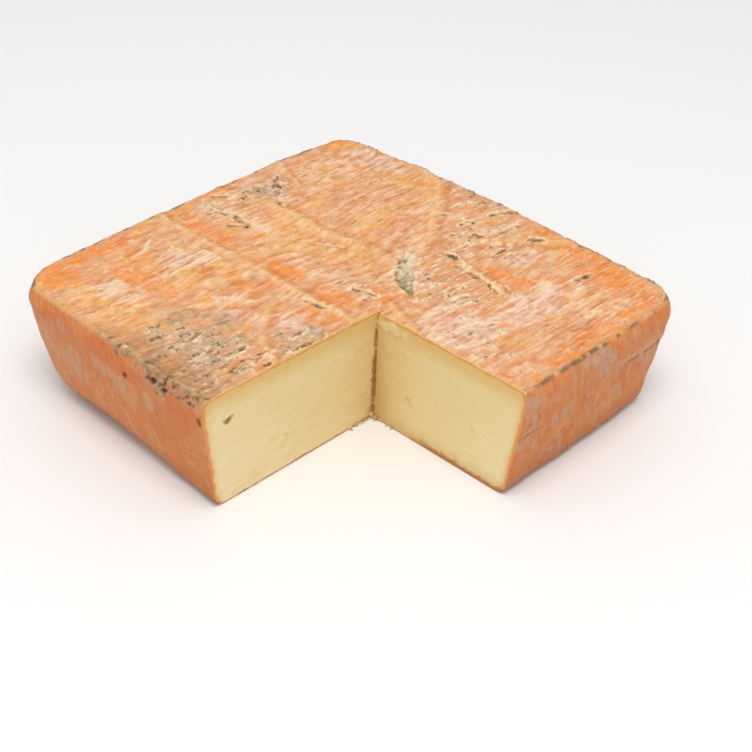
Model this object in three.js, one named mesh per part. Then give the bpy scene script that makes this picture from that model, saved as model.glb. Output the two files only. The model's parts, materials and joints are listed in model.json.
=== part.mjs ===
// A square washed-rind cheese, about 198 mm a side and 51 mm thick, with one corner
// quarter cut away. It grew and ripened as one piece, so it is one solid.
//
// The cheese stands on its flat underside. The origin is the middle of that side's
// bounding box, +Z is up, and the sides run along X and Y. The missing quarter is the
// one at +X, -Y. Lengths are millimetres.
import * as THREE from "three";
import { mergeVertices } from "three/addons/utils/BufferGeometryUtils.js";

// Driving dimensions
const topHalf = 95.6; // half the nominal side of the top face
const height = 51;
const cut = { x: 22.5, y: -8 }; // where the two cuts meet, from the middle of the slab

// Side profile, from the floor up: a rounded toe, a flank that leans out, a full shoulder
const bulge = 2.3; // how far the shoulder stands out past the top edge
const shoulderHeight = 44;
const lean = 0.135; // how much further in the flank gets, per millimetre down
const toe = { radius: 5, sunkRadius: 14 };

// The cheese has sunk towards its -X, -Y corner, where its toe gets rounder from start to end
const sinking = { start: 30, end: -45 };

// Plan. Each side bows out to its peak at its middle, and falls back by fall 100 mm from there.
const bows = {
  left: { peak: 1.2, middle: 50, fall: 3.2 },
  right: { peak: 1.5, middle: 30, fall: 3 },
  front: { peak: 0.7, middle: 20, fall: 1 },
  back: { peak: 0.8, middle: -15, fall: 4.2 },
};
const cornerRadius = { sunk: 14, back: 10, right: 12, front: 12 };
const sunkSpread = 14; // how much rounder the sunk corner is at the floor than at the top
const softBand = 26; // the sides' shape fades out over this width, going inwards

// Facets
const fineStep = 4.5; // across the soft band, where the outline curves
const coarseStep = 13;
const flankStep = 9.5;
const footSteps = 6;
const shoulderSteps = 3;

const rind = new THREE.MeshStandardMaterial({
  name: "washed_rind",
  color: 0xe5a878,
  roughness: 0.7,
  metalness: 0,
});

const clamp01 = (t) => Math.min(1, Math.max(0, t));

// 0 at start, 1 at end, level at both
function ease(start, end, value) {
  const t = clamp01((value - start) / (end - start));
  return t * t * (3 - 2 * t);
}

// Equal steps of at most size, from one value to another, without the last
function steps(from, to, size) {
  const count = Math.ceil((to - from) / size);
  return Array.from({ length: count }, (_, i) => from + ((to - from) * i) / count);
}

// How far a side stands out past its top edge at height z
function profile(z, toeRadius) {
  if (z >= shoulderHeight) {
    return bulge * (1 - ((z - shoulderHeight) / (height - shoulderHeight)) ** 2);
  }
  const flank = bulge - lean * (shoulderHeight - z);
  return z < toeRadius ? flank - toeRadius + Math.sqrt(z * (2 * toeRadius - z)) : flank;
}

// How far a side stands out past the nominal square, at a distance along it
function bowOut(bow, along) {
  return bow.peak - bow.fall * ((along - bow.middle) / 100) ** 2;
}

function radiusAt(x, y, z) {
  if (x < 0 && y < 0) return cornerRadius.sunk + sunkSpread * (1 - z / height) ** 2;
  if (x < 0) return cornerRadius.back;
  return y < 0 ? cornerRadius.front : cornerRadius.right;
}

// Moves a point of a square-cornered plan so that the plan's corner is round
function rounded(x, y, z) {
  const radius = radiusAt(x, y, z);
  const a = Math.max(0, Math.abs(x) - (topHalf - radius)) / radius;
  const b = Math.max(0, Math.abs(y) - (topHalf - radius)) / radius;
  const shrinkX = radius * a * (1 - Math.sqrt(1 - (b * b) / 2));
  const shrinkY = radius * b * (1 - Math.sqrt(1 - (a * a) / 2));
  return [x - Math.sign(x) * shrinkX, y - Math.sign(y) * shrinkY];
}

// The cheese's own place for a point of a plain square slab
function shaped(slabX, slabY, z) {
  const [x, y] = rounded(slabX, slabY, z);
  const sunk = ease(sinking.start, sinking.end, x) * ease(sinking.start, sinking.end, y);
  const offset = profile(z, toe.radius + sunk * (toe.sunkRadius - toe.radius));
  const nearX = clamp01((Math.abs(x) - topHalf + softBand) / softBand);
  const nearY = clamp01((Math.abs(y) - topHalf + softBand) / softBand);
  return [
    x + Math.sign(x) * nearX * (offset + bowOut(x < 0 ? bows.left : bows.right, y)),
    y + Math.sign(y) * nearY * (offset + bowOut(y < 0 ? bows.front : bows.back, x)),
    z,
  ];
}

// Lattice lines across the slab, which include the cut
function lines(cutAt) {
  const soft = topHalf - softBand;
  return [
    ...steps(-topHalf, -soft, fineStep),
    ...steps(-soft, cutAt, coarseStep),
    ...steps(cutAt, soft, coarseStep),
    ...steps(soft, topHalf, fineStep),
    topHalf,
  ];
}

// Lattice levels up the sides, closest at the foot
function levels() {
  const footLevels = steps(0, 1, 1 / footSteps).map((t) => toe.sunkRadius * t ** 2);
  return [
    ...footLevels,
    ...steps(toe.sunkRadius, shoulderHeight, flankStep),
    ...steps(shoulderHeight, height, (height - shoulderHeight) / shoulderSteps),
    height,
  ];
}

// Two triangles for each cell of a lattice of slab points. across x up points outwards.
function addSheet(positions, across, up, pointAt) {
  for (let i = 0; i + 1 < across.length; i += 1) {
    for (let j = 0; j + 1 < up.length; j += 1) {
      const near = pointAt(across[i], up[j]);
      const side = pointAt(across[i + 1], up[j]);
      const far = pointAt(across[i + 1], up[j + 1]);
      const above = pointAt(across[i], up[j + 1]);
      for (const corner of [near, side, far, near, far, above]) {
        positions.push(...shaped(...corner));
      }
    }
  }
}

function cheeseGeometry() {
  const xs = lines(cut.x);
  const ys = lines(cut.y);
  const zs = levels();
  const leftOfCut = xs.filter((x) => x <= cut.x);
  const rightOfCut = xs.filter((x) => x >= cut.x);
  const frontOfCut = ys.filter((y) => y <= cut.y);
  const backOfCut = ys.filter((y) => y >= cut.y);
  const reversed = (values) => [...values].reverse();
  const positions = [];

  // Top and underside: the whole back half, then what is left of the front half
  for (const [x, y] of [
    [xs, backOfCut],
    [leftOfCut, frontOfCut],
  ]) {
    addSheet(positions, x, y, (u, v) => [u, v, height]);
    addSheet(positions, reversed(x), y, (u, v) => [u, v, 0]);
  }

  // Rind sides
  addSheet(positions, leftOfCut, zs, (u, v) => [u, -topHalf, v]);
  addSheet(positions, backOfCut, zs, (u, v) => [topHalf, u, v]);
  addSheet(positions, reversed(xs), zs, (u, v) => [u, topHalf, v]);
  addSheet(positions, reversed(ys), zs, (u, v) => [-topHalf, u, v]);

  // Cut faces
  addSheet(positions, frontOfCut, zs, (u, v) => [cut.x, u, v]);
  addSheet(positions, rightOfCut, zs, (u, v) => [u, cut.y, v]);

  const geometry = new THREE.BufferGeometry();
  geometry.setAttribute("position", new THREE.Float32BufferAttribute(positions, 3));
  const closed = mergeVertices(geometry, 1e-4);
  closed.computeBoundingBox();
  const middle = closed.boundingBox.getCenter(new THREE.Vector3());
  closed.translate(-middle.x, -middle.y, 0);
  closed.computeVertexNormals();
  return closed;
}

const cheese = new THREE.Mesh(cheeseGeometry(), rind);
cheese.name = "cheese";

const part = new THREE.Group();
part.add(cheese);
export default part;
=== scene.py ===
"""Looks for a square washed-rind cheese with one corner quarter cut away.

The cheese is one mesh on a fine lattice, with the same outline as its CAD solid. Lengths are
millimetres until the mesh is made. Slab coordinates are those of a plain square slab, before
its sides are shaped: x and y run from -HALF to HALF and z from 0 to HEIGHT.
"""

import json
import math

import bpy
import numpy as np
from mathutils import Matrix, Vector


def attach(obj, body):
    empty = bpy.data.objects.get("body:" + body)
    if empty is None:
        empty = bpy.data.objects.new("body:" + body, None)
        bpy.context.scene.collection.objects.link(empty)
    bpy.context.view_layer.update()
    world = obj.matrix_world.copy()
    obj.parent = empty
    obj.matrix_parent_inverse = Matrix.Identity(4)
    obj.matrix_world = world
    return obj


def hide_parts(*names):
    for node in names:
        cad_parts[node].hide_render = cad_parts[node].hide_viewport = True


# Outline, as in the CAD solid
HALF = 95.6  # half the nominal side of the top
HEIGHT = 51.0
BULGE = 2.3  # how far the shoulder stands out past the top edge
SHOULDER = 44.0  # the height where the sides stand out most
LEAN = 0.135  # how much further in the flank gets, per millimetre down
TOE_RADIUS = 5.0
SUNK_TOE_RADIUS = 14.0
SINKING = (30.0, -45.0)  # along x and y, from no sinking to all of it, at the -X, -Y corner
SOFT_BAND = 26.0  # the sides' shape fades out over this width, going inwards
BOWS = {  # peak, its place along the side, and the fall 100 mm from there
    "left": (1.2, 50.0, 3.2),
    "right": (1.5, 30.0, 3.0),
    "front": (0.7, 20.0, 1.0),
    "back": (0.8, -15.0, 4.2),
}
CORNER_RADII = {"sunk": 14.0, "back": 10.0, "right": 12.0, "front": 12.0}
SUNK_SPREAD = 14.0  # how much rounder the sunk corner is at the floor than at the top

# The missing quarter is where x is more than CUT_X and y less than CUT_Y
CUT_X = 22.5
CUT_Y = -8.0

# Spacing of the mesh
STEP = 0.5

# Stage, in metres and watts
FLOOR_REACH = 6.0
FLOOR_TINT = (0.88, 0.88, 0.88)
FLOOR_ROUGHNESS = 0.9
SKY_TINT = (1, 0.99, 0.97)
SKY_STRENGTH = 0.72
SOFTBOX_AT = (0.3, -0.3, 1.2)
SOFTBOX_AIM = (0, 0, 0.03)
SOFTBOX_SIZE = 0.7
SOFTBOX_WATTS = 7.5

# Camera: angles in degrees, and its place, lens and sensor in millimetres
AZIMUTH = 42.03
ELEVATION = 35.13
ROLL = 2.94
CAMERA_AT = (343.8, -363.3, 357.3)
LENS = 69.4
SENSOR = 36.0


def linear(red, green, blue):
    """An 8-bit sRGB colour as linear light."""
    value = np.array([red, green, blue]) / 255
    return np.where(value <= 0.04045, value / 12.92, ((value + 0.055) / 1.055) ** 2.4)


# Rind
TAN = linear(222, 162, 114)
SALMON = linear(226, 148, 102)
AMBER = linear(232, 172, 94)
ORANGE = linear(236, 140, 50)
RUST = linear(196, 112, 62)
UMBER = linear(168, 116, 68)
BLOOM = linear(230, 184, 148)
PINK_BLOOM = linear(222, 178, 160)
CHALK = linear(242, 220, 184)
BEIGE = linear(198, 158, 120)
OLIVE = linear(148, 114, 68)
GREEN_MOULD = linear(176, 168, 138)
DARK_MOULD = linear(98, 78, 44)
PIT_BROWN = linear(104, 70, 34)
FLANK = linear(212, 128, 68)
FLANK_TAN = linear(208, 144, 88)
FLANK_RED = linear(206, 112, 54)
FLANK_ORANGE = linear(208, 114, 38)
FLANK_BLOOM = linear(192, 154, 128)
FOOT_BROWN = linear(170, 100, 46)

# Paste
STRAW = linear(232, 208, 155)
PALE_STRAW = linear(236, 216, 172)
RIPE_STRAW = linear(222, 184, 110)
DEEP_STRAW = linear(176, 134, 58)
# Painted shade for the slit at the inner corner
SLIT_SHADE_BROWN = linear(158, 108, 34)
RIND_LINE = linear(216, 138, 68)


def smooth(low, high, value):
    """0 below low, 1 above high, smooth between. low may be the larger."""
    t = np.clip((value - low) / (high - low), 0, 1)
    return t * t * (3 - 2 * t)


def ridge(value, width):
    """1 where value is 0, falling off over width on both sides."""
    return np.exp(-((value / width) ** 2))


# ---------------------------------------------------------------- noise


GRADIENTS = np.random.default_rng(11).normal(size=(256, 3))
GRADIENTS /= np.linalg.norm(GRADIENTS, axis=1, keepdims=True)
HASH_PRIMES = (73856093, 19349663, 83492791)
SEED_SHIFT = 37.7  # in cells, from one seed's noise to the next one's
NOISE_GAIN = 1.6


def noise(points, scale, seed=0):
    """Gradient noise, about -1 to 1, different for each seed.

    scale is the size of its features, one number or three.
    """
    place = points / np.asarray(scale, dtype=float) + seed * SEED_SHIFT
    cell = np.floor(place).astype(np.int64)
    inside = place - cell
    fade = inside**3 * (inside * (inside * 6 - 15) + 10)
    total = np.zeros(len(points))
    for corner in np.ndindex(2, 2, 2):
        x, y, z = ((cell + corner) * HASH_PRIMES).T
        mixed = x ^ y ^ z
        gradient = GRADIENTS[(mixed ^ (mixed >> 13)) % len(GRADIENTS)]
        weight = np.prod(np.where(corner, fade, 1 - fade), axis=1)
        total += weight * np.einsum("ij,ij->i", gradient, inside - corner)
    return total * NOISE_GAIN


def cloudy(points, scale, seed=0, octaves=3):
    """Noise with finer and fainter noises added to it."""
    total = np.zeros(len(points))
    for octave in range(octaves):
        size = np.asarray(scale, dtype=float) / 2**octave
        total += noise(points, size, seed + octave) / 2**octave
    return total / 1.5


# ---------------------------------------------------------------- outline


def profile(z, toe_radius):
    """How far a side stands out past its top edge at height z."""
    shoulder = BULGE * (1 - ((z - SHOULDER) / (HEIGHT - SHOULDER)) ** 2)
    flank = BULGE - LEAN * (SHOULDER - z)
    rounding = np.sqrt(np.clip(z * (2 * toe_radius - z), 0, None)) - toe_radius
    foot = flank + np.where(z < toe_radius, rounding, 0)
    return np.where(z >= SHOULDER, shoulder, foot)


def bow_out(side, along):
    """How far a side stands out past the nominal square, at a distance along it."""
    peak, middle, fall = BOWS[side]
    return peak - fall * ((along - middle) / 100) ** 2


def corner_radius(x, y, z):
    sunk = CORNER_RADII["sunk"] + SUNK_SPREAD * (1 - z / HEIGHT) ** 2
    left = np.where(y < 0, sunk, CORNER_RADII["back"])
    right = np.where(y < 0, CORNER_RADII["front"], CORNER_RADII["right"])
    return np.where(x < 0, left, right)


def shaped(slab):
    """The cheese's own places for slab points."""
    x, y, z = slab.T
    radius = corner_radius(x, y, z)
    a = np.clip(np.abs(x) - HALF + radius, 0, None) / radius
    b = np.clip(np.abs(y) - HALF + radius, 0, None) / radius
    x = x - np.sign(x) * radius * a * (1 - np.sqrt(1 - b * b / 2))
    y = y - np.sign(y) * radius * b * (1 - np.sqrt(1 - a * a / 2))
    sunk = smooth(*SINKING, x) * smooth(*SINKING, y)
    offset = profile(z, TOE_RADIUS + sunk * (SUNK_TOE_RADIUS - TOE_RADIUS))
    near_x = np.clip((np.abs(x) - HALF + SOFT_BAND) / SOFT_BAND, 0, 1)
    near_y = np.clip((np.abs(y) - HALF + SOFT_BAND) / SOFT_BAND, 0, 1)
    bow_x = np.where(x < 0, bow_out("left", y), bow_out("right", y))
    bow_y = np.where(y < 0, bow_out("front", x), bow_out("back", x))
    x = x + np.sign(x) * near_x * (offset + bow_x)
    y = y + np.sign(y) * near_y * (offset + bow_y)
    return np.stack([x, y, z], axis=1)


# ---------------------------------------------------------------- lattice


def lines(low, high):
    """Evenly spaced lattice lines, about STEP apart."""
    return np.linspace(low, high, round((high - low) / STEP) + 1)


def sheet(i, j, k, shape):
    """Quads of a grid of lattice corners. Its first axis crossed with its second is outwards."""
    key = np.ravel_multi_index(np.broadcast_arrays(i, j, k), shape)
    return np.stack([key[:-1, :-1], key[1:, :-1], key[1:, 1:], key[:-1, 1:]], -1).reshape(-1, 4)


def lattice():
    """Slab points and the quads between them, for a slab with one quarter cut away."""
    xs = np.concatenate([lines(-HALF, CUT_X), lines(CUT_X, HALF)[1:]])
    ys = np.concatenate([lines(-HALF, CUT_Y), lines(CUT_Y, HALF)[1:]])
    zs = lines(0, HEIGHT)
    shape = (len(xs), len(ys), len(zs))
    every_x, every_y, levels = (np.arange(count) for count in shape)
    cut_x = np.searchsorted(xs, CUT_X)
    cut_y = np.searchsorted(ys, CUT_Y)
    left_x, right_x = every_x[: cut_x + 1], every_x[cut_x:]
    front_y, back_y = every_y[: cut_y + 1], every_y[cut_y:]
    sheets = [
        # The top and the underside: the whole back, then what is left of the front
        (every_x[:, None], back_y, levels[-1]),
        (left_x[:, None], front_y, levels[-1]),
        (every_x[::-1, None], back_y, 0),
        (left_x[::-1, None], front_y, 0),
        # The front, the back, the left and the right
        (left_x[:, None], 0, levels),
        (every_x[::-1, None], every_y[-1], levels),
        (0, every_y[::-1, None], levels),
        (every_x[-1], back_y[:, None], levels),
        # The cut faces
        (cut_x, front_y[:, None], levels),
        (right_x[:, None], cut_y, levels),
    ]
    quads = np.concatenate([sheet(*grid, shape) for grid in sheets])
    keys, corners = np.unique(quads, return_inverse=True)
    i, j, k = np.unravel_index(keys, shape)
    return np.stack([xs[i], ys[j], zs[k]], axis=1), corners.reshape(-1, 4)


# ---------------------------------------------------------------- painting


class Skin:
    """The colour of some points and their height, in mm, built up in layers."""

    def __init__(self, count, tint):
        self.colour = np.tile(tint, (count, 1))
        self.height = np.zeros(count)

    def lay(self, tint, strength, height=0.0):
        """Lays a tint over the points and lifts them by height, each as far as strength, 0 to 1."""
        strength = np.clip(strength, 0, 1)
        self.colour += (tint - self.colour) * strength[:, None]
        self.height += height * strength


def beside_path(plan, path):
    """Each point's distance from a polyline, which side it is on (1 or -1), and 0 to 1 along it."""
    distance = np.full(len(plan), np.inf)
    side = np.ones(len(plan))
    along = np.zeros(len(plan))
    legs = [np.subtract(end, start) for start, end in zip(path, path[1:])]
    whole = sum(np.linalg.norm(leg) for leg in legs)
    done = 0.0
    for start, leg in zip(path, legs):
        length = np.linalg.norm(leg)
        offset = plan - start
        share = np.clip(offset @ leg / length**2, 0, 1)
        gap = np.linalg.norm(offset - share[:, None] * leg, axis=1)
        nearer = gap < distance
        turned = np.sign(leg[0] * offset[:, 1] - leg[1] * offset[:, 0])
        distance = np.where(nearer, gap, distance)
        side = np.where(nearer, turned, side)
        along = np.where(nearer, (done + share * length) / whole, along)
        done += length
    return distance, side, along


def in_patches(plan, patches, rough, edge=0.18):
    """1 inside ellipses and 0 outside, with edges that rough makes ragged.

    Each patch is its middle and its two half sizes. edge is how soft the edges are, up to 0.5.
    """
    inside = np.zeros(len(plan))
    for x, y, half_width, half_depth in patches:
        reach = np.hypot((plan[:, 0] - x) / half_width, (plan[:, 1] - y) / half_depth)
        inside = np.maximum(inside, smooth(1.7, 0.1, reach))
    ragged = inside + 0.9 * rough * np.minimum(1, 3 * inside)
    return smooth(0.52 - edge, 0.52 + edge, ragged)


def warped(slab):
    """Slab points nudged about, so that marks wander."""
    nudge_x = 3.0 * noise(slab, 46, 1) + 1.0 * noise(slab, 13, 2)
    nudge_y = 3.0 * noise(slab, 46, 3) + 1.0 * noise(slab, 13, 4)
    return slab + np.stack([nudge_x, nudge_y, np.zeros(len(slab))], axis=1)


# ---------------------------------------------------------------- marks on the top


# Folds that the cheese's cloth left in the top: height, half-width, then the path
FOLDS = [
    (0.6, 1.7, [(-97, -22), (-60, -20.5), (-25, -21.5), (22, -20)]),
    (0.6, 1.5, [(-30, 0), (-33, -14), (-31, -28), (-35, -44)]),
    (0.9, 2.6, [(-98, 14), (-72, 20), (-38, 19), (-10, 24), (6, 22)]),
    (1.1, 2.5, [(-56, 97), (-36, 90), (-18, 72), (-5, 54), (-1, 34)]),
    (1.0, 2.3, [(44, 94), (28, 82), (14, 66), (7, 58)]),
    (0.7, 1.7, [(-9, -34), (-2, -46), (8, -57), (22, -64)]),
    (0.6, 1.5, [(-15, -38), (-24, -48), (-29, -58)]),
    (0.4, 1.6, [(8, 48), (26, 43), (48, 42)]),
    (0.4, 1.3, [(-98, 52), (-84, 44), (-72, 40)]),
    (0.5, 1.6, [(22, 2), (34, -4), (44, -8)]),
]

# Open cracks with mould in them, mostly along Y: half-width, then the path
CRACKS = [
    (1.5, [(-79, 0), (-72, 3), (-60, 2)]),
    (1.8, [(-85, 22), (-84, 29), (-80, 36)]),
    (1.2, [(-82, 34), (-72, 25), (-66, 23)]),
    (1.0, [(-66, -4), (-58, 2)]),
    (1.0, [(-90, 8), (-86, 14)]),
    (0.9, [(25, 62), (26, 73)]),
    (0.7, [(20, 60), (20, 67)]),
    (1.5, [(6, 45), (13, 46), (19, 45)]),
    (1.5, [(2, 61), (8, 67), (12, 71)]),
    (0.9, [(11, 54), (12, 59)]),
    (1.1, [(3, 84), (6, 93)]),
    (0.8, [(-1, 70), (0, 77)]),
    (0.8, [(18, 41), (30, 40.5), (46, 39)]),
    (1.3, [(12, -38), (13, -46)]),
    (0.8, [(20, -34), (20.5, -52)]),
    (0.8, [(6, -4), (15, 0)]),
    (0.9, [(-12, 68), (-11, 72)]),
    (1.0, [(29, 81), (34, 85)]),
    (0.9, [(44, 45), (49, 42)]),
    (0.8, [(-2, -24), (8, -22)]),
    (0.8, [(60, 16), (61, 22)]),
    (0.9, [(62, 70), (63, 78)]),
    (0.8, [(-54, 66), (-53, 74)]),
    (1.0, [(16, 78), (16.5, 86)]),
    (0.9, [(30, 62), (31, 70)]),
    (0.8, [(-14, 78), (-13, 84)]),
    (0.9, [(38, 20), (39, 28)]),
    (0.8, [(30, 24), (30.5, 31)]),
    (1.1, [(-4, -74), (-3, -82)]),
    (1.0, [(-14, -70), (-13, -78)]),
    (0.9, [(6, -64), (7, -72)]),
    (1.0, [(14, -84), (15, -90)]),
]

# The one wide split, from its dry end to its mouldy one
SPLIT = [(-2, 35), (3, 27), (9, 20), (17, 14.5), (27, 10)]
SPLIT_HALF_WIDTH = 3.0

# Pale welts of old rind: half-width, then the path
WELTS = [
    (1.5, [(-82, -38), (-77, -44), (-75, -52)]),
    (1.0, [(-4, 34), (3, 28), (8, 20)]),
    (1.4, [(-23, -94), (-17, -95), (-12, -94.5)]),
    (0.9, [(-33, 10), (-22, 17)]),
    (1.0, [(-58, -26), (-58, -46)]),
    (0.9, [(-53, -28), (-53, -50)]),
]

# Patches of the top: the middle, half-width and half-depth of each
ORANGE_PATCHES = [
    (-90, -54, 6, 24),
    (-84, -84, 13, 11),
    (-62, -60, 20, 6),
    (-76, -50, 10, 6),
    (-68, -14, 20, 5),
    (-26, -15, 13, 6),
    (6, -14, 12, 6),
    (-26, -33, 10, 6),
    (12, -29, 12, 7),
    (-93, 10, 4, 16),
    (-92, 84, 7, 9),
    (72, 82, 24, 12),
    (52, 92, 36, 5),
    (92, 46, 5, 40),
    (40, 51, 12, 6),
    (16, 2, 9, 5),
    (-32, 84, 12, 4),
    (14, -72, 7, 10),
]
AMBER_PATCHES = [
    (-28, 46, 7, 26),
    (-46, 20, 22, 8),
    (-18, 18, 16, 9),
    (-40, 7, 24, 9),
    (-40, -84, 18, 9),
    (-66, -84, 18, 6),
    (-46, -46, 12, 10),
    (38, 84, 14, 7),
    (72, 60, 10, 8),
    (-52, -30, 22, 6),
]
PALE_PATCHES = [
    (-57, -38, 12, 13),
    (-62, -74, 15, 8),
    (-80, 22, 12, 16),
    (-75, 62, 9, 20),
    (-12, -4, 18, 6),
    (-66, 4, 14, 5),
    (54, 10, 18, 20),
    (62, 40, 10, 24),
    (34, 66, 8, 16),
    (-8, 52, 9, 20),
    (10, -38, 12, 9),
    (-20, -47, 14, 7),
    (-84, -38, 8, 8),
    (-66, 85, 16, 9),
    (-14, 66, 15, 9),
    (74, 60, 14, 10),
]
PINK_PATCHES = [
    (54, 10, 20, 20),
    (62, 42, 9, 26),
    (33, 68, 7, 14),
    (-14, -50, 14, 8),
    (-58, -36, 9, 12),
    (-60, -72, 10, 7),
    (-84, 28, 11, 14),
    (-84, 0, 12, 7),
    (8, -36, 12, 10),
    (-66, 86, 13, 8),
]
GREY_PATCHES = [(-9, -68, 21, 17), (4, -84, 26, 12), (16, -44, 9, 14), (-80, 28, 7, 12)]
SPECKLED_PATCHES = [
    (13, 72, 16, 24),
    (26, 27, 22, 15),
    (-84, 30, 8, 20),
    (-84, 2, 9, 8),
    (16, -60, 9, 24),
    (-18, 90, 26, 6),
    (6, -2, 14, 6),
    (60, 8, 16, 14),
    (-6, -78, 24, 18),
]
WOVEN_PATCHES = [
    (68, 82, 30, 14),
    (84, 46, 10, 44),
    (-48, 52, 34, 30),
    (28, 30, 28, 24),
    (-56, -38, 14, 14),
    (-6, -86, 28, 10),
]

# Spacing of the cloth's threads along X and Y
WARP_PITCH = 2.3
WEFT_PITCH = 2.0

# The rolled edge along the front: the y where it starts and where it is full, and the x over
# which it turns mouldy towards the cut
LEDGE = (-93.4, -94.8)
MOULDY_LEDGE = (-46, -24)


def cloth_print(place, woven):
    """The weave that the cheese's cloth printed on it, about -1 to 1."""
    wobble = 1.4 * noise(place, 17, 5)
    warp = np.sin(place[:, 0] * 2 * np.pi / WARP_PITCH + wobble)
    weft = np.sin(place[:, 1] * 2 * np.pi / WEFT_PITCH + wobble)
    clear = smooth(-0.6, 0.5, noise(place, (5, 11, 9), 6)) * (0.3 + 0.7 * woven)
    return (warp + 0.2 * weft + 0.2 * warp * weft) * clear * smooth(-95, -89, place[:, 1])


def scuffing(slab, place):
    """Streaks of the rind, the size of a grain of rice and longer, from about -1 to 1."""
    coarse = noise(place, (2.5, 12.0, 9), 8)
    middle = noise(place, (1.8, 5.0, 9), 9)
    fine = noise(slab, (1.2, 1.7, 9), 10)
    return np.tanh(1.3 * (0.9 * coarse + 0.75 * middle + 0.3 * fine))


def lay_ground(skin, plan, place, blotch):
    """The rind itself, from pink to orange."""
    skin.lay(SALMON, 0.8 * smooth(-0.1, 0.5, cloudy(place, 15, 24)))
    skin.lay(AMBER, 0.8 * smooth(0.0, 0.5, cloudy(place, 17, 27)))
    skin.lay(AMBER, 0.85 * in_patches(plan, AMBER_PATCHES, blotch))
    uneven = cloudy(place, (6, 9, 9), 30)
    skin.lay(ORANGE, 0.6 * smooth(0.15, 0.5, uneven), -0.08)
    skin.lay(ORANGE, in_patches(plan, ORANGE_PATCHES, blotch) * (0.7 + 0.4 * uneven), -0.12)


def lay_bloom(skin, plan, place, blotch, scuffs, threads):
    """The pale film that grows on the rind, thickest on what stands proud."""
    pale = in_patches(plan, PALE_PATCHES, blotch)
    orange = in_patches(plan, ORANGE_PATCHES, blotch)
    pink = in_patches(plan, PINK_PATCHES, blotch)
    field = 0.6 * blotch + 0.7 * scuffs + 0.6 * threads + 0.45 * pale + 0.3 * pink - 0.3 * orange
    skin.lay(BLOOM, 0.75 * smooth(-0.1, 0.7, field), 0.15)
    skin.lay(PINK_BLOOM, 0.5 * pink * smooth(-0.5, 0.5, field))
    skin.lay(CHALK, 0.5 * smooth(0.6, 1.3, field + 0.3 * noise(place, (1.4, 3, 9), 33)), 0.15)
    low = smooth(0.0, -1.1, scuffs + 0.8 * threads)
    skin.lay(RUST, 0.5 * low, -0.15)
    skin.lay(UMBER, 0.5 * low * smooth(-0.1, 0.5, noise(place, (5, 9, 9), 7)))


def lay_grey(skin, plan, place, blotch, scuffs):
    """Grey mould, which grows in patches with bare pink between."""
    grey = in_patches(plan, GREY_PATCHES, blotch, 0.4)
    speckled = in_patches(plan, SPECKLED_PATCHES, blotch)
    cover = smooth(-0.6, 0.4, 1.2 * noise(place, (4, 7, 9), 34) + 0.4 * scuffs)
    skin.lay(BEIGE, (0.95 * grey + 0.4 * speckled) * (0.3 + 0.7 * cover))
    skin.lay(OLIVE, 0.6 * grey * smooth(-0.1, 0.7, scuffs + 0.8 * noise(place, (2.2, 6, 9), 35)))
    skin.lay(PINK_BLOOM, 0.6 * grey * smooth(0.0, 0.6, noise(place, (5, 8, 9), 29)))
    return grey, speckled


def lay_folds(skin, slab, plan, scuffs):
    """Low ridges, pale along the crest, that come and go, with a painted highlight along one side and
    painted shade along the other.
    """
    for number, (height, half_width, path) in enumerate(FOLDS):
        gap, side, along = beside_path(plan, path)
        wander = 0.9 * noise(slab, 6, 40 + number)
        kept = smooth(-0.75, 0.0, cloudy(slab, 16, 60 + number))
        crest = ridge(gap * side + wander, half_width) * kept * smooth(0, 0.04, along)
        skin.lay(AMBER, 0.75 * crest, 1.3 * height)
        # Painted highlight: a thin pale line just to one side of the crest
        skin.lay(BLOOM, 0.6 * ridge(gap * side + wander + 0.5, 0.4 * half_width) * kept, 0.15)
        skin.lay(CHALK, 0.4 * crest * smooth(0.1, 0.7, scuffs))
        # Painted shade: a rust band on the other side of the fold
        shade = ridge(gap * side + wander - 1.7 * half_width, 0.7 * half_width) * kept
        skin.lay(RUST, 0.5 * shade, -0.25)


def lay_cracks(skin, slab, plan):
    """Broken cracks with dark mould in them and chalky lips, which a painted highlight makes stronger
    on one side.
    """
    ragged = noise(slab, 3.6, 12) + 0.8 * noise(slab, 1.8, 13) + 0.35 * noise(slab, 1.0, 14)
    streaks = noise(slab, 2.4, 15) + 0.6 * noise(slab, 1.1, 16)
    broken = smooth(-0.6, 0.1, noise(slab, 4.5, 17))
    for half_width, path in CRACKS:
        gap, side, along = beside_path(plan, path)
        width = half_width * (0.5 + 0.5 * np.sin(np.pi * along))
        reach = gap + ragged * (0.4 + 0.4 * half_width)
        fill = smooth(width, 0.5 * width, reach) * broken
        # The chalky lips are the rind's own; that they are stronger on one side of each crack is a
        # painted highlight
        lip = ridge(reach - width - 0.7, 0.6) * smooth(-0.3, 0.5, streaks + 0.3 * side)
        skin.lay(CHALK, 0.9 * lip, 0.45)
        skin.lay(BEIGE, 0.8 * fill, -0.4)
        skin.lay(DARK_MOULD, 0.95 * fill * smooth(0.5, -0.4, streaks), -0.4)


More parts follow.
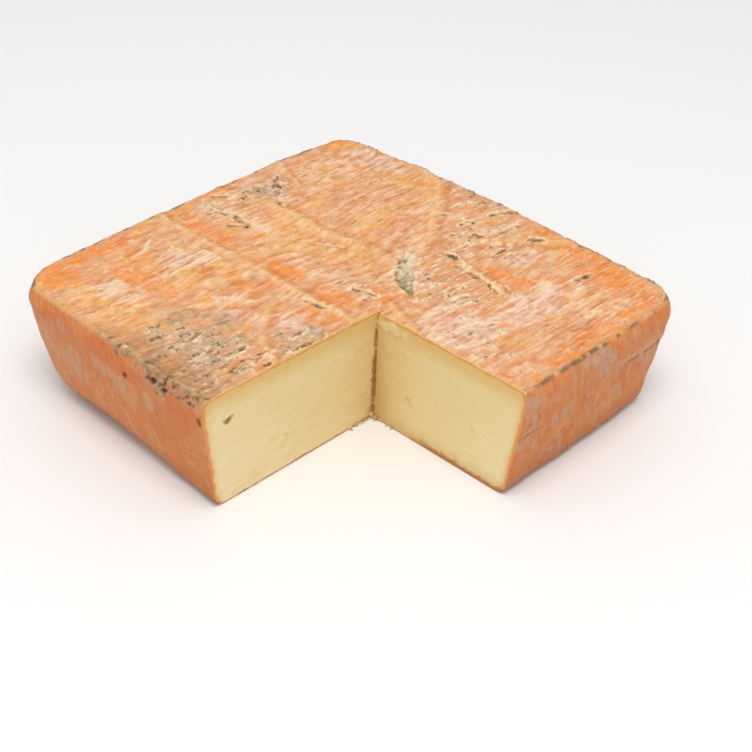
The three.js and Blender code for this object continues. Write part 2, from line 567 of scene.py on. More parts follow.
def lay_split(skin, slab, plan):
    """The wide split: chalky lips, a mouldy floor and a dark line of painted shade along one side."""
    gap, side, along = beside_path(plan, SPLIT)
    ragged = 0.7 * noise(slab, 5, 95) + 1.5 * noise(slab, 2.6, 96) + 0.8 * noise(slab, 1.3, 97) - 0.4
    offset = gap * side + 1.2 * noise(slab, 9, 98)
    width = 0.1 + SPLIT_HALF_WIDTH * smooth(0.0, 0.12, along) * smooth(1.0, 0.6, along)
    reach = np.abs(offset) + ragged
    floor = smooth(width, 0.7 * width, reach)
    torn = smooth(-0.4, 0.3, noise(slab, (3.5, 3.5, 9), 15))
    lip = ridge(reach - width - 0.7, 0.7) * torn * smooth(0.0, 0.15, along)
    skin.lay(CHALK, 0.95 * lip, 0.6)
    skin.lay(CHALK * 0.8, 0.9 * floor, -0.4)
    skin.lay(GREEN_MOULD, 0.9 * floor * smooth(0.3, 0.55, along + 0.1 * ragged), -0.3)
    skin.lay(CHALK, 0.7 * floor * smooth(0.0, 0.5, noise(slab, 1.9, 92)), 0.3)
    skin.lay(OLIVE, 0.7 * floor * smooth(0.2, 0.6, noise(slab, (1.3, 3.2, 9), 99)), -0.3)
    # Painted shade: a dark line just inside one wall of the split
    one_side_shade = ridge(offset + 0.75 * width + 0.7 * ragged, 0.8) * smooth(0.08, 0.2, along)
    gaps = smooth(-0.5, 0.1, noise(slab, 3.2, 89))
    skin.lay(DARK_MOULD, 0.95 * one_side_shade * gaps * smooth(0.95, 0.7, along), -0.5)
    skin.lay(OLIVE, 0.7 * floor * smooth(0.3, 0.8, -ragged) * smooth(0.4, 0.6, along), -0.2)


def lay_welts(skin, slab, plan):
    """Pale raised strips with a faint shade beside them."""
    for number, (half_width, path) in enumerate(WELTS):
        gap, side, along = beside_path(plan, path)
        wander = 0.5 * noise(slab, 4, 80 + number)
        width = half_width * (0.4 + 0.6 * np.sin(np.pi * along))
        welt = smooth(width + 0.4, width - 0.5, gap + wander)
        skin.lay(CHALK, 0.6 * welt, 0.3)
        foot = ridge(gap + wander - width - 0.5, 0.6) * (side < 0)
        skin.lay(OLIVE, 0.3 * foot, -0.12)


def lay_flecks(skin, slab, place, grey, speckled, scuffs):
    """Dark dashes of mould in hollows, and the chalky edges beside them."""
    dashes = 0.9 * noise(place, (1.8, 5.5, 9), 18) + 0.5 * noise(slab, 1.6, 19)
    threshold = 0.86 - 0.42 * speckled - 0.2 * grey
    edges = smooth(threshold - 0.3, threshold - 0.1, dashes) * smooth(-0.4, 0.4, scuffs)
    skin.lay(CHALK, 0.5 * edges, 0.2)
    flecks = smooth(threshold, threshold + 0.25, dashes)
    skin.lay(DARK_MOULD, 0.85 * flecks, -0.45)
    pocks = 0.9 * noise(place, (2.3, 7.0, 9), 93) + 0.4 * noise(slab, 1.5, 94)
    pocked = 0.3 + 0.5 * speckled
    rim = smooth(0.15, 0.4, pocks) * smooth(0.66, 0.5, pocks)
    skin.lay(CHALK, pocked * rim * (1 - 0.6 * grey), 0.25)
    skin.lay(UMBER, (pocked + 0.3 * grey) * smooth(0.45, 0.7, pocks), -0.3)


def lay_ledge(skin, slab, blotch, scuffs):
    """The rolled edge along the front, mouldy towards the cut."""
    x, y, _ = slab.T
    edge = y + 1.8 * noise(slab, 7, 21) + 0.8 * noise(slab, 2.6, 22)
    ledge = smooth(*LEDGE, edge)
    near_cut = smooth(*MOULDY_LEDGE, x + 9 * blotch)
    mouldy = smooth(-92.0, -94.5, edge) * near_cut
    skin.lay(UMBER, 0.75 * near_cut * smooth(-78, -92, y + 5 * blotch) * smooth(-0.9, 0.3, scuffs))
    skin.lay(AMBER * 0.9, 0.7 * ledge, 0.4)
    skin.lay(BEIGE * 1.1, 0.6 * ledge * smooth(-0.4, 0.6, scuffs))
    patches = 0.8 * noise(slab, (4.2, 2.2, 9), 36) + 0.6 * noise(slab, 1.7, 37) + 0.3 * scuffs
    skin.lay(BEIGE * 0.85, 0.75 * mouldy)
    skin.lay(OLIVE, 0.7 * mouldy * smooth(-0.2, 0.3, patches))
    skin.lay(DARK_MOULD, 0.85 * mouldy * smooth(0.2, 0.6, patches), -0.35)
    skin.lay(CHALK, 0.7 * mouldy * smooth(-0.4, -0.8, patches), 0.3)
    skin.lay(DARK_MOULD, 0.9 * ledge * smooth(-84, -91, x + 3 * blotch), -0.3)


def lay_rims(skin, slab, scuffs):
    """The brown back edges, and the paste that shows through along the cuts."""
    x, y, _ = slab.T
    out = np.maximum(np.maximum(np.abs(x), y) - HALF, -20) + 1.1 * noise(slab, 5, 38)
    dotted = smooth(-0.4, 0.4, scuffs + 0.8 * noise(slab, 4, 28))
    skin.lay(OLIVE, 0.85 * smooth(-2.2, 0.2, out) * dotted, -0.15)
    skin.lay(DARK_MOULD, 0.7 * smooth(-1.4, 0.2, out) * smooth(0.5, 1.0, dotted - 0.3 * scuffs))
    skin.lay(BEIGE, 0.4 * ridge(out + 2.2, 1.2) * smooth(-0.2, 0.6, scuffs))
    from_cut = np.hypot(np.clip(CUT_X - x, 0, None), np.clip(y - CUT_Y, 0, None))
    skin.lay(RIPE_STRAW, 0.8 * smooth(1.2, 0.3, from_cut + 0.7 * noise(slab, 3, 39)))


def dress_top(slab):
    """The top: weave, folds, patches of bloom and mould, cracks and edges."""
    place = warped(slab)
    plan = place[:, :2]
    scuffs = scuffing(slab, place)
    blotch = cloudy(slab, 8.5, 20) + 0.25 * scuffs
    threads = cloth_print(place, in_patches(plan, WOVEN_PATCHES, blotch))
    skin = Skin(len(slab), TAN)
    skin.height += 0.28 * scuffs + 0.22 * threads + 0.25 * blotch
    lay_ground(skin, plan, place, blotch)
    lay_bloom(skin, plan, place, blotch, scuffs, threads)
    grey, speckled = lay_grey(skin, plan, place, blotch, scuffs)
    lay_folds(skin, slab, plan, scuffs)
    lay_flecks(skin, slab, place, grey, speckled, scuffs)
    lay_welts(skin, slab, plan)
    lay_cracks(skin, slab, plan)
    lay_split(skin, slab, plan)
    lay_ledge(skin, slab, blotch, scuffs)
    lay_rims(skin, slab, scuffs)
    return skin


# ---------------------------------------------------------------- marks on the sides


# Marks on the front side: the middle's x and z, half-width, half-height
PITS = [(-22, 41, 1.0, 1.3), (20.8, 42, 1.2, 2.0), (-5, 47, 1.8, 1.2), (1, 45.5, 1.2, 0.9)]
STAINS = [(-7, 48, 8, 4.0), (-1, 45, 5, 2.5), (13, 49, 9, 2.6), (-24, 49.5, 5, 1.6), (-97, 47, 6, 4)]
BUFF_SPOTS = [(-9, 35, 3.4, 5.4)]
GREY_SMEARS = [(-80, 27, 9, 11), (-27, 33, 5, 4), (-57, 28, 10, 9), (-40, 34, 7, 5), (-64, 42, 8, 4)]
RED_PATCHES = [(-3, 28, 16, 12), (-30, 44, 20, 5), (10, 38, 9, 10), (-62, 44, 16, 5)]

# A fold in the other sides, at about this height
SIDE_FOLD_HEIGHT = 33.0

# Spacing of the boards under the cheese
BOARD_PITCH = 11

# The top's looks give way to the sides' between these depths below it, and the sides' looks to
# the underside's below this height
TOP_EDGE = (0.4, 1.8)
FOOT_EDGE = 1.2


def lay_front_marks(skin, slab, front, blotch):
    """Smears, stains, mould and pits on the front side. front is 1 there."""
    face = slab[:, [0, 2]] + 0.8 * noise(slab, 3.5, 50)[:, None]
    smears = front * in_patches(face, GREY_SMEARS, blotch)
    skin.lay(FLANK_RED, 0.7 * front * in_patches(face, RED_PATCHES, blotch))
    streaked = smooth(-0.4, 0.5, noise(slab, (1.8, 1.8, 5), 54) + 0.5 * blotch)
    skin.lay(FLANK_BLOOM, 0.6 * smears * streaked, 0.1)
    skin.lay(BEIGE, 0.75 * front * in_patches(face, BUFF_SPOTS, 0.3 * blotch), 0.15)
    stains = front * in_patches(face, STAINS, blotch)
    spots = noise(slab, (2.6, 2.6, 2.2), 55) + 0.5 * noise(slab, 1.2, 56)
    skin.lay(FLANK_BLOOM * 0.9, 0.7 * stains * smooth(-0.7, 0.1, spots))
    skin.lay(OLIVE * 0.8, 0.75 * stains * smooth(-0.2, 0.5, spots), -0.2)
    skin.lay(DARK_MOULD * 0.8, 0.9 * stains * smooth(0.2, 0.8, spots), -0.4)
    skin.lay(PIT_BROWN * 0.7, front * in_patches(face, PITS, 0.4 * blotch), -1.3)


def lay_side_mould(skin, slab, hidden, blotch, drag):
    """Grey bloom, orange patches and a mouldy fold, on the other sides. hidden is 1 there."""
    orange = smooth(0.0, 0.5, cloudy(slab, (24, 24, 16), 58) + 0.4 * blotch)
    skin.lay(FLANK_ORANGE, 0.75 * hidden * orange, -0.1)
    bloom = smooth(0.0, 0.5, cloudy(slab, (17, 17, 12), 61) + 0.4 * blotch + 0.3 * drag)
    skin.lay(FLANK_BLOOM, 0.75 * hidden * bloom, 0.15)
    skin.lay(OLIVE, 0.6 * hidden * bloom * smooth(0.3, 0.8, drag + 0.6 * noise(slab, 1.8, 64)), -0.25)
    line = slab[:, 2] - SIDE_FOLD_HEIGHT - 5 * noise(slab, 60, 65) - 1.2 * noise(slab, 9, 66)
    kept = hidden * smooth(-0.4, 0.2, cloudy(slab, 24, 67))
    skin.lay(FLANK_BLOOM * 1.1, 0.7 * kept * ridge(line - 1.8, 1.6), 0.6)
    speckles = smooth(-0.3, 0.3, noise(slab, (3, 3, 1.6), 70))
    skin.lay(DARK_MOULD, 0.85 * kept * ridge(line, 0.8) * speckles, -0.6)


def dress_sides(slab):
    """The sides: streaks dragged down by washing, and a brown foot."""
    _, y, z = slab.T
    front = smooth(16, 3, y + HALF)
    sheared = slab + np.outer(z, (0.35, 0.35, 0))
    drag = np.tanh(0.9 * noise(sheared, (2.4, 2.4, 17), 51) + 0.7 * noise(sheared, (1.1, 1.1, 6), 52))
    blotch = cloudy(slab, 9, 53)
    grain = noise(slab, 1.3, 57)
    skin = Skin(len(slab), FLANK)
    skin.height += 0.16 * drag + 0.4 * cloudy(slab, 14, 69) + 0.08 * grain
    skin.lay(FLANK_TAN, 0.8 * smooth(-0.1, 0.6, cloudy(slab, (22, 22, 15), 71)))
    skin.lay(FLANK_RED, 0.6 * smooth(0.0, 0.6, cloudy(slab, (16, 16, 20), 74)))
    lay_side_mould(skin, slab, 1 - front, blotch, drag)
    skin.lay(BLOOM * 0.8, 0.45 * smooth(0.1, 0.8, drag + 0.4 * blotch + 0.2 * grain))
    skin.lay(RUST * 0.85, 0.45 * smooth(-0.1, -0.9, drag + 0.3 * grain))
    scratches = noise(sheared, (1.5, 1.5, 11), 77) + 0.4 * noise(slab, (2, 2, 4), 78)
    skin.lay(UMBER * 0.7, 0.6 * smooth(0.62, 0.85, scratches), -0.3)
    lay_front_marks(skin, slab, front, blotch)
    wash = smooth(18, 4, z + 3 * blotch)
    skin.lay(FOOT_BROWN, 0.5 * wash + 0.6 * smooth(6.0, 0.5, z + 2.0 * noise(slab, 8, 68)))
    return skin


def dress_underside(slab):
    """The underside, with the print of the boards that it ripened on."""
    lean = 0.8 * noise(slab, 30, 80)
    boards = smooth(-0.2, 0.6, np.sin(slab[:, 0] * 2 * np.pi / BOARD_PITCH + lean))
    blotch = cloudy(slab, 8, 82)
    skin = Skin(len(slab), FLANK)
    skin.lay(FOOT_BROWN, 0.6 * smooth(-0.3, 0.5, cloudy(slab, 24, 81)))
    skin.lay(FLANK_BLOOM, 0.6 * smooth(0.0, 0.5, cloudy(slab, (6, 14, 6), 84) + 0.5 * blotch))
    skin.lay(RUST * 0.8, 0.5 * boards)
    skin.lay(DARK_MOULD, 0.7 * smooth(0.5, 0.8, noise(slab, (1.8, 4, 3), 87) + 0.3 * blotch))
    return skin


def dress_rind(slab):
    """The rind's colour, and its relief in mm, at each slab point."""
    z = slab[:, 2]
    colour = np.zeros((len(slab), 3))
    relief = 0.45 * noise(slab, 34, 90) + 0.3 * noise(slab, 15, 91)
    top = smooth(HEIGHT - TOP_EDGE[1], HEIGHT - TOP_EDGE[0], z)
    under = smooth(FOOT_EDGE, 0.0, z)
    shares = ((top, dress_top), (1 - top - under, dress_sides), (under, dress_underside))
    for share, dress in shares:
        here = share > 0
        skin = dress(slab[here])
        colour[here] += skin.colour * share[here, None]
        relief[here] += skin.height * share[here]
    return colour, relief


# ---------------------------------------------------------------- cut faces


# Face 0 is the X face, which looks along +X, and face 1 is the Y face, which looks along -Y
FACE_WAYS = ((1, 0, 0), (0, -1, 0))
CORNER_SHADE = (0.3, 0.5)  # on each face, how much painted shade darkens the paste near the inner corner
CORNER_SHADE_REACH = (4.0, 14.0)  # on each face, how far the inner corner's painted shade, in a deep colour, reaches

# Eyes in each face: distance from the inner corner, z, half-width, half-height and depth
EYES = (
    (
        (76.5, 37.3, 1.5, 1.3, 2.4),
        (74.6, 38.4, 1.0, 0.8, 1.4),
        (78.4, 38.6, 0.8, 0.7, 1.0),
        (49.0, 16.0, 1.6, 1.2, 0.6),
        (56.0, 18.0, 1.4, 0.8, 0.4),
        (50.5, 11.5, 1.0, 0.7, 0.4),
        (44.0, 22.0, 1.3, 0.5, 0.3),
    ),
    (
        (18.5, 18.0, 1.7, 1.3, 0.7),
        (20.5, 16.5, 0.8, 0.8, 0.5),
        (52.0, 22.0, 1.3, 0.8, 0.4),
    ),
)

# A pale smear on the Y face: distance from the inner corner, z, half-width, half-height
SMEAR = (9.0, 47.0, 9.0, 2.6)


def cut_faces(slab):
    """Which points are on each of the two cut faces."""
    x, y, _ = slab.T
    return (x == CUT_X) & (y <= CUT_Y), (y == CUT_Y) & (x >= CUT_X)


def lay_rind_edges(skin, slab, outer, ragged):
    """The rind round the edges of a cut face. outer is the distance from its outer side."""
    z = slab[:, 2]
    skin.lay(RIPE_STRAW, 0.9 * smooth(11.0, 1.5, HEIGHT - z + 1.4 * ragged))
    skin.lay(RIPE_STRAW, 0.7 * smooth(5.0, 1.0, outer + ragged))
    skin.lay(RIND_LINE, 0.95 * smooth(1.1, 0.6, HEIGHT - z + 0.35 * ragged))
    skin.lay(RIND_LINE, 0.9 * smooth(2.3, 1.0, outer + 0.5 * ragged))
    skin.lay(FOOT_BROWN, 0.9 * smooth(1.0, 0.4, z + 0.4 * ragged))


def lay_y_face_marks(skin, face, ragged):
    """The smear, and the browner foot, of the Y face."""
    along, z = face.T
    smear = in_patches(face, [SMEAR], 0.5 * ragged)
    skin.lay(PALE_STRAW, 0.6 * smear, 0.5)
    skin.lay(RIPE_STRAW * 0.85, 0.6 * smooth(9, 1, z + 1.5 * ragged))
    foot = smooth(16, 34, along) * smooth(3.2, 1.2, z + 1.1 * ragged)
    skin.lay(FOOT_BROWN, 0.8 * foot, 0.15)


def lay_eyes(skin, face, which, ragged):
    for along, z, half_width, half_height, depth in EYES[which]:
        eye = in_patches(face, [(along, z, half_width, half_height)], 0.6 * ragged)
        skin.lay(DEEP_STRAW, 0.45 * depth * eye, -0.4 * depth)


def dress_cut(slab, which):
    """A cut face, by its number: fine drag lines of the knife and eyes, with painted light that makes
    the paste paler away from the inner corner, and painted shade that darkens it towards the corner
    and in a thin line along it.
    """
    x, y, z = slab.T
    along = CUT_Y - y if which == 0 else x - CUT_X
    outer = HALF + y if which == 0 else HALF - x
    ragged = noise(slab, 4, 101) + 0.6 * noise(slab, 1.4, 102)
    drag = noise(slab + np.outer(along, (0, 0, 0.2)), (9, 9, 1.6), 103)
    soft = cloudy(slab, 22, 104)
    face = np.column_stack([along, z])
    skin = Skin(len(slab), STRAW)
    skin.height += 0.1 * drag + 0.25 * soft + 0.05 * noise(slab, 1.8, 105)
    # Painted light: the paste gets paler away from the inner corner and towards the bottom
    skin.lay(PALE_STRAW, 0.7 * smooth(0.2, 0.9, along / 70 - z / 80 + 0.3 * soft))
    skin.lay(RIPE_STRAW, 0.3 * smooth(0.0, 0.9, drag + soft))
    # Painted shade: the paste darkens towards the inner corner, where the two cut faces meet
    skin.lay(RIPE_STRAW, CORNER_SHADE[which] * smooth(24, 2, along + 5 * soft))
    corner = smooth(CORNER_SHADE_REACH[which], 0, along + 0.12 * z + 2.0 * ragged)
    skin.lay(DEEP_STRAW, 0.5 * corner)
    # Painted shade: a thin dark brown line along the inner corner, below the top
    corner_line_shade = smooth(1.1, 0.2, along + 1.2 * noise(slab, (9, 9, 2.6), 106)) * smooth(47, 41, z)
    skin.lay(SLIT_SHADE_BROWN, 0.8 * corner_line_shade)
    lay_rind_edges(skin, slab, outer, ragged)
    if which == 1:
        lay_y_face_marks(skin, face, ragged)
    lay_eyes(skin, face, which, ragged)
    return skin


# ---------------------------------------------------------------- relief


# The slit that the knife left in the inner corner. Its width is along X, the rest along Y.
SLIT_WIDTH = 0.7
SLIT_DEPTH = 0.9
SLIT_FADE = 9.0

# Marks lift up on the top. They turn to stand out from the sides over this depth and width.
TURN_DEPTH = 5
TURN_WIDTH = 2.5

# They stand out from both sides this near a corner, and fade out this near the floor
CORNER_BAND = 14
FLOOR_BAND = 4


def slit_push(slab):
    """How far each point moves along Y to open the slit, in mm."""
    x, y, _ = slab.T
    level = slab * (0, 0, 1)
    ragged = 0.5 * noise(level, 6, 110) + 0.5 * noise(level, 2.4, 111)
    inside = (x > CUT_X) * smooth(SLIT_WIDTH, 0.6 * SLIT_WIDTH, x - CUT_X + ragged)
    return SLIT_DEPTH * inside * smooth(SLIT_FADE, 0, y - CUT_Y) * (y >= CUT_Y)


def outward(slab):
    """Up on the top, straight out on the sides, and in between along the top edge."""
    x, y, z = slab.T
    up = smooth(HEIGHT - TURN_DEPTH, HEIGHT, z)
    out = smooth(HALF - TURN_WIDTH, HALF, np.maximum(np.abs(x), np.abs(y)))
    near = [np.clip(np.abs(v) - HALF + CORNER_BAND, 0, None) * np.sign(v) for v in (x, y)]
    aside = np.stack(near, axis=1)
    aside /= np.maximum(np.linalg.norm(aside, axis=1, keepdims=True), 1e-6)
    way = np.column_stack([aside * (out * smooth(0, FLOOR_BAND, z))[:, None], up])
    return way / np.maximum(np.linalg.norm(way, axis=1, keepdims=True), 1)


def cheese_surface(slab):
    """The places and colours of the cheese's points, and which of them are paste."""
    x, y, z = slab.T
    colour, relief = dress_rind(slab)
    move = outward(slab) * relief[:, None]
    paste = np.zeros(len(slab), dtype=bool)
    for which, (on_face, way) in enumerate(zip(cut_faces(slab), FACE_WAYS)):
        inside = on_face & (z > 0) & (z < HEIGHT) & (np.abs(x) < HALF) & (np.abs(y) < HALF)
        skin = dress_cut(slab[inside], which)
        colour[inside] = skin.colour
        fade = smooth(0, 2, z[inside]) * smooth(HEIGHT, HEIGHT - 2, z[inside])
        move[inside] = np.outer(skin.height * fade, way)
        move[on_face & ~inside, which] = 0  # its edges stay in the plane of the cut
        paste |= on_face
    push = slit_push(slab)
    # Painted shade: the slit's paste turns brown as far as it is pushed in
    dark = np.clip(push / SLIT_DEPTH, 0, 1)[:, None] * paste[:, None]
    colour += (SLIT_SHADE_BROWN - colour) * 0.9 * dark
    move[:, 1] += push
    return shaped(slab) + move, colour, paste


# ---------------------------------------------------------------- crumbs


CRUMB_COUNT = 36
CRUMB_START = 0.4  # how far from the inner corner they start, along the foot of each cut
CRUMB_SPREAD = 15.0  # how much further they go on
CRUMB_STRAY = 1.5  # how far away from the cut they lie
CRUMB_RADII = (0.3, 0.9)  # the least, and how much more the largest has
BALL_STEPS = 6


def ball():
    """A ball of radius 1 made of quads, from the grid of a cube."""
    steps = np.linspace(-1, 1, BALL_STEPS)
    u, v = np.meshgrid(steps, steps, indexing="ij")
    faces = []
    for axis in range(3):
        for sign in (-1, 1):
            face = np.empty(u.shape + (3,))
            face[..., axis] = sign
            face[..., (axis + 1) % 3] = u
            face[..., (axis + 2) % 3] = v * sign
            faces.append(face)
    cube = np.round(np.stack(faces), 6)
    points, keys = np.unique(cube.reshape(-1, 3), axis=0, return_inverse=True)
    keys = keys.reshape(cube.shape[:3])
    quads = [keys[:, :-1, :-1], keys[:, 1:, :-1], keys[:, 1:, 1:], keys[:, :-1, 1:]]
    points /= np.linalg.norm(points, axis=1, keepdims=True)
    return points, np.stack(quads, -1).reshape(-1, 4)


def crumbs():
    """Small lumps of paste left along the foot of the cuts, near the inner corner."""
    draw = np.random.default_rng(5)
    points, quads = ball()
    every_point = []
    every_quad = []
    colours = []
    for number in range(CRUMB_COUNT):
        along = CRUMB_SPREAD * draw.random() ** 2.5 + CRUMB_START
        away = CRUMB_STRAY * draw.random() ** 1.5
        size = CRUMB_RADII[0] + CRUMB_RADII[1] * draw.random() ** 3
        place = (CUT_X + away, CUT_Y - along) if number % 2 else (CUT_X + along, CUT_Y - away)
        dented = points * (1 + 0.8 * noise(points, 0.8, number)[:, None]) * draw.uniform(0.5, 1.3, 3)
        lump = dented * size
        lump[:, 2] -= lump[:, 2].min()
        every_quad.append(quads + number * len(points))
        every_point.append(lump + (*place, 0))
        colours.append(np.tile(DEEP_STRAW + (STRAW - DEEP_STRAW) * draw.random(), (len(points), 1)))
    return np.concatenate(every_point), np.concatenate(every_quad), np.concatenate(colours)


# ---------------------------------------------------------------- mesh and materials


def make_mesh(name, points, quads, colour, finish, materials):
    """A smooth mesh. finish is which of the materials each quad has."""
    mesh = bpy.data.meshes.new(name)
    mesh.vertices.add(len(points))
    mesh.vertices.foreach_set("co", (points / 1000).astype(np.float32).ravel())
    mesh.loops.add(quads.size)
    mesh.loops.foreach_set("vertex_index", quads.ravel().astype(np.int32))
    mesh.polygons.add(len(quads))
    mesh.polygons.foreach_set("loop_start", np.arange(0, quads.size, 4, dtype=np.int32))
    for material in materials:
        mesh.materials.append(material)
    mesh.polygons.foreach_set("material_index", finish.astype(np.int32))
    mesh.update(calc_edges=True)
    mesh.shade_smooth()
    tint = mesh.color_attributes.new("tint", "FLOAT_COLOR", "POINT")
    tint.data.foreach_set("color", np.column_stack([colour, np.ones(len(colour))]).ravel())
    piece = bpy.data.objects.new(name, mesh)
    bpy.context.scene.collection.objects.link(piece)
    return piece


GRAIN_LEVELS = (0.3, 0.5, 0.68)  # low, middle and high places of the grain
GRAIN_ROUGHNESS = (-0.12, 0.14)  # added to the roughness at the grain's lowest and highest
SPECULAR = 0.3


def add_ramp(nodes, stops):
    """A colour ramp of (position, linear colour) stops."""
    ramp = nodes.new("ShaderNodeValToRGB")
    elements = ramp.color_ramp.elements
    for element, (position, colour) in zip((elements[0], elements[1]), (stops[0], stops[-1])):
        element.position = position
        element.color = (*colour, 1)
    for position, colour in stops[1:-1]:
        elements.new(position).color = (*colour, 1)
    return ramp


def add_grain(material, size, stretch):
    """Fine noise through a material. Returns its output, 0 to 1."""
    nodes = material.node_tree.nodes
    link = material.node_tree.links.new
    place = nodes.new("ShaderNodeTexCoord")
    stretched = nodes.new("ShaderNodeMapping")
    stretched.inputs["Scale"].default_value = stretch
    link(place.outputs["Object"], stretched.inputs["Vector"])
    grain = nodes.new("ShaderNodeTexNoise")
    grain.inputs["Scale"].default_value = 1 / size
    grain.inputs["Detail"].default_value = 4
    grain.inputs["Roughness"].default_value = 0.6
    link(stretched.outputs["Vector"], grain.inputs["Vector"])
    return grain.outputs["Fac"]


def colour_by_grain(material, grain, shades):
    """Colours a material with the mesh's tint times the grain's shades."""
    nodes = material.node_tree.nodes
    link = material.node_tree.links.new
    tint = nodes.new("ShaderNodeAttribute")
    tint.attribute_name = "tint"
    shade = add_ramp(nodes, list(zip(GRAIN_LEVELS, shades)))
    link(grain, shade.inputs["Fac"])
    grained = nodes.new("ShaderNodeVectorMath")
    grained.operation = "MULTIPLY"
    link(tint.outputs["Color"], grained.inputs[0])
    link(shade.outputs["Color"], grained.inputs[1])
    link(grained.outputs["Vector"], nodes["Principled BSDF"].inputs["Base Color"])


def roughen_by_grain(material, grain, roughness, bump):
    """Gives a material roughness and bump that follow the grain."""
    nodes = material.node_tree.nodes
    link = material.node_tree.links.new
    shader = nodes["Principled BSDF"]
    sheen = nodes.new("ShaderNodeMapRange")
    sheen.inputs["To Min"].default_value = roughness + GRAIN_ROUGHNESS[0]
    sheen.inputs["To Max"].default_value = roughness + GRAIN_ROUGHNESS[1]
    link(grain, sheen.inputs["Value"])
    link(sheen.outputs["Result"], shader.inputs["Roughness"])
    relief = nodes.new("ShaderNodeBump")
    relief.inputs["Strength"].default_value = 1.0
    relief.inputs["Distance"].default_value = bump
    link(grain, relief.inputs["Height"])
    link(relief.outputs["Normal"], shader.inputs["Normal"])


def make_material(name, roughness, grain_size, stretch, shades, bump):
    """A surface whose colour is the mesh's tint, broken up by fine grain.

    grain_size and bump are in metres. shades are the tint's factors from the grain's low places
    to its high ones.
    """
    material = bpy.data.materials.new(name)
    material.use_nodes = True
    grain = add_grain(material, grain_size, stretch)
    colour_by_grain(material, grain, shades)
    roughen_by_grain(material, grain, roughness, bump)
    shader = material.node_tree.nodes["Principled BSDF"]
    shader.inputs["Specular IOR Level"].default_value = SPECULAR
    return material


def top_material():
    shades = ((0.86, 0.79, 0.72), (1.0, 1.0, 1.0), (1.04, 1.08, 1.13))
    return make_material("washed_rind", 0.48, 0.0014, (1, 0.4, 1), shades, 0.0004)


def side_material():
    shades = ((0.90, 0.86, 0.80), (1.0, 1.0, 1.0), (1.04, 1.06, 1.08))
    return make_material("rubbed_rind", 0.52, 0.0012, (1, 1, 0.5), shades, 0.0002)


def paste_material():
    shades = ((0.97, 0.96, 0.93), (1.0, 1.0, 1.0), (1.01, 1.02, 1.04))
    paste = make_material("straw_paste", 0.46, 0.004, (1, 1, 2.5), shades, 0.0001)
    shader = paste.node_tree.nodes["Principled BSDF"]
    shader.inputs["Subsurface Weight"].default_value = 0.15
    shader.inputs["Subsurface Radius"].default_value = (1.0, 0.7, 0.35)
    shader.inputs["Subsurface Scale"].default_value = 0.003
    return paste


# ---------------------------------------------------------------- cheese


TOP, SIDES, PASTE = 0, 1, 2  # the numbers of the materials


def frame_shift(record):
    """From slab coordinates to the frame's, in mm, by where the record has the cut faces."""
    faces = {mount["name"]: mount["pos_m"] for mount in record["mounts"]}
    cut_x, cut_y = faces["cut_x"][0] * 1000, faces["cut_y"][1] * 1000
    return np.array([cut_x - CUT_X, cut_y - CUT_Y, 0])


def build_cheese(shift):
    slab, quads = lattice()
    points, colour, on_paste = cheese_surface(slab)
    lumps, lump_quads, lump_colour = crumbs()
    on_top = slab[quads, 2].min(axis=1) == HEIGHT
    finish = np.where(on_paste[quads].all(axis=1), PASTE, np.where(on_top, TOP, SIDES))
    piece = make_mesh(
        "ripened_cheese",
        np.concatenate([points, lumps]) + shift,
        np.concatenate([quads, lump_quads + len(points)]),
        np.concatenate([colour, lump_colour]),
        np.concatenate([finish, np.full(len(lump_quads), PASTE)]),
        [top_material(), side_material(), paste_material()],
    )
    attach(piece, "root")
    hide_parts("cheese")


# ---------------------------------------------------------------- stage


def build_floor():
    mesh = bpy.data.meshes.new("floor")
    turns = ((-1, -1), (1, -1), (1, 1), (-1, 1))
    corners = [(x * FLOOR_REACH, y * FLOOR_REACH, 0) for x, y in turns]
    mesh.from_pydata(corners, [], [(0, 1, 2, 3)])
    material = bpy.data.materials.new("pale_floor")
    material.use_nodes = True
    shader = material.node_tree.nodes["Principled BSDF"]
    shader.inputs["Base Color"].default_value = (*FLOOR_TINT, 1)
    shader.inputs["Roughness"].default_value = FLOOR_ROUGHNESS
    mesh.materials.append(material)
    floor = bpy.data.objects.new("floor", mesh)
    bpy.context.scene.collection.objects.link(floor)


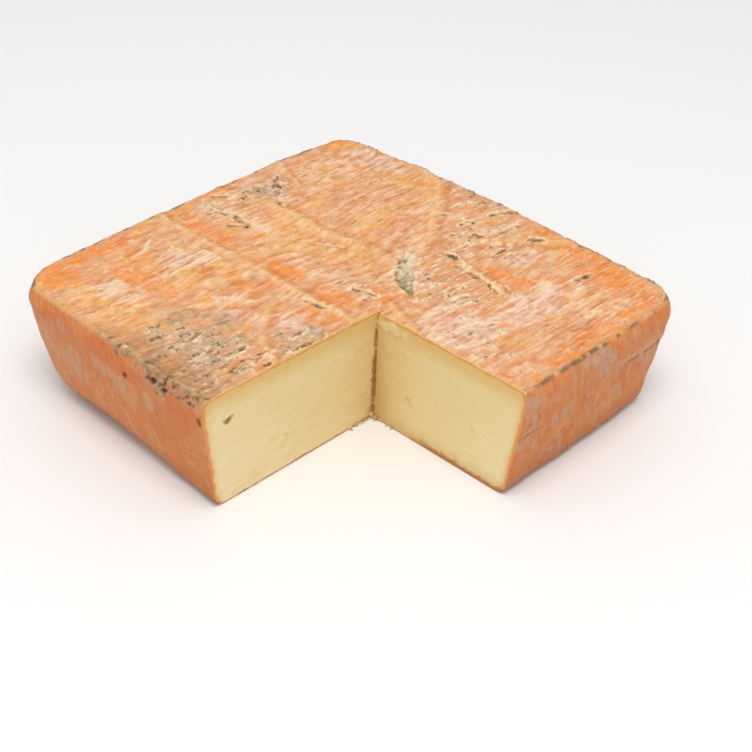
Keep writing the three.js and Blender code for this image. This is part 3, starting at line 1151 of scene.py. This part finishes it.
def set_sky():
    scene = bpy.context.scene
    scene.view_settings.view_transform = "Standard"
    scene.world = bpy.data.worlds.new("studio")
    scene.world.use_nodes = True
    background = scene.world.node_tree.nodes["Background"]
    background.inputs["Color"].default_value = (*SKY_TINT, 1)
    background.inputs["Strength"].default_value = SKY_STRENGTH


def add_softbox():
    light = bpy.data.lights.new("softbox", "AREA")
    light.shape = "DISK"
    light.size = SOFTBOX_SIZE
    light.energy = SOFTBOX_WATTS
    lamp = bpy.data.objects.new("softbox", light)
    lamp.location = SOFTBOX_AT
    way = Vector(SOFTBOX_AIM) - Vector(SOFTBOX_AT)
    lamp.rotation_euler = way.to_track_quat("-Z", "Y").to_euler()
    bpy.context.scene.collection.objects.link(lamp)


def set_camera():
    azimuth, elevation, roll = (math.radians(v) for v in (AZIMUTH, ELEVATION, ROLL))
    level = math.cos(elevation)
    back = Vector((math.sin(azimuth) * level, -math.cos(azimuth) * level, math.sin(elevation)))
    right = Vector((math.cos(azimuth), math.sin(azimuth), 0))
    turn = Matrix((right, back.cross(right), back)).transposed().to_4x4()
    camera = bpy.data.objects.new("camera", bpy.data.cameras.new("camera"))
    camera.data.lens = LENS
    camera.data.sensor_width = SENSOR
    camera.data.clip_start = 0.01
    camera.matrix_world = (
        Matrix.Translation(Vector(CAMERA_AT) / 1000) @ turn @ Matrix.Rotation(roll, 4, "Z")
    )
    bpy.context.scene.collection.objects.link(camera)
    bpy.context.scene.camera = camera


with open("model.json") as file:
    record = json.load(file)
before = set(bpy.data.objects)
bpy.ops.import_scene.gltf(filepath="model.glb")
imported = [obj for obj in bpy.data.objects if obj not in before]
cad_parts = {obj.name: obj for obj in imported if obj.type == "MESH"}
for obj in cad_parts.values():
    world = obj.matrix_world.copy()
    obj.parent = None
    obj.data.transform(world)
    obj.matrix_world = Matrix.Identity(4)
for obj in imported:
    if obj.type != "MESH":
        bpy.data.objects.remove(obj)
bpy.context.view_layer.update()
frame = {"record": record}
build_cheese(frame_shift(frame["record"]))
build_floor()
set_sky()
add_softbox()
set_camera()
